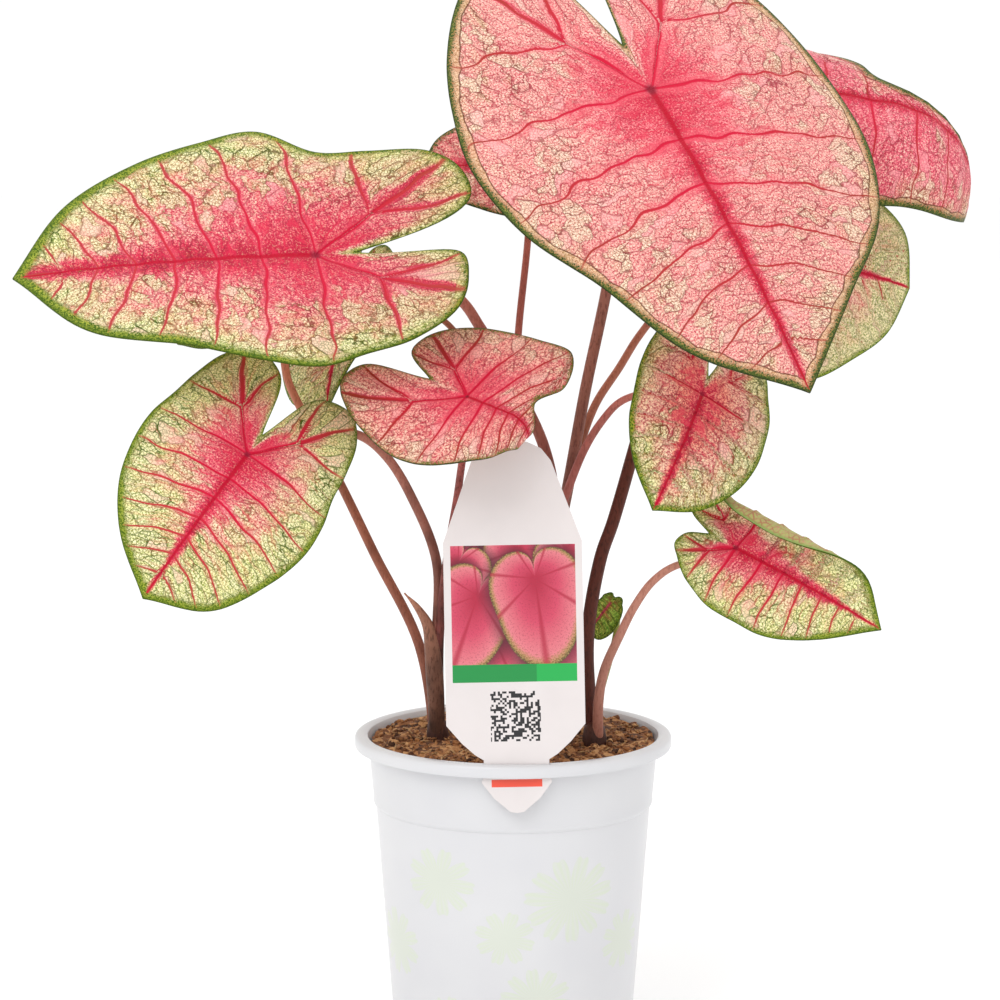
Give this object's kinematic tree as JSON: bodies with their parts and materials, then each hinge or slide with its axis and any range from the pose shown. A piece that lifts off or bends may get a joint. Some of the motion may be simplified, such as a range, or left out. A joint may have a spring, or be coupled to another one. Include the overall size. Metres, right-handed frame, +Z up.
{
  "type": "potted caladium plant",
  "caption": "Caladium with thin heart-shaped pink and lime leaves on slender stalks, standing in a filled white nursery pot with a plain plant tag.",
  "frame": {"origin": "centre of the pot's flat base, on the surface it stands on", "axes": "+Z up along the pot's axis, -Y towards the face with the plant tag, +X to the right as seen from that face"},
  "size_m": [0.3603, 0.1917, 0.4259],
  "materials": {
    "pot_plastic": "moulded white polypropylene, glossy",
    "tag_plastic": "printed white plastic sheet, satin",
    "peat": "loose fibrous peat, matt",
    "tuber_skin": "rough corky skin, matt",
    "stalk_skin": "smooth plant skin, soft sheen",
    "pink_blade": "thin leaf, soft sheen",
    "lime_blade": "thin leaf, soft sheen"
  },
  "bodies": {
    "root": {"pot": "pot_plastic", "soil": "peat", "tag": "tag_plastic", "tuber_left": "tuber_skin", "tuber_middle": "tuber_skin", "tuber_right": "tuber_skin", "stalks_left": "stalk_skin", "stalks_middle": "stalk_skin", "stalks_right": "stalk_skin", "leaf_01": "pink_blade", "leaf_02": "lime_blade", "leaf_03": "lime_blade", "leaf_04": "pink_blade", "leaf_05": "pink_blade", "leaf_06": "lime_blade", "leaf_07": "lime_blade", "leaf_08": "lime_blade", "leaf_09": "lime_blade", "leaf_10": "lime_blade", "leaf_11": "lime_blade", "leaf_12": "lime_blade"}
  },
  "joints": []
}
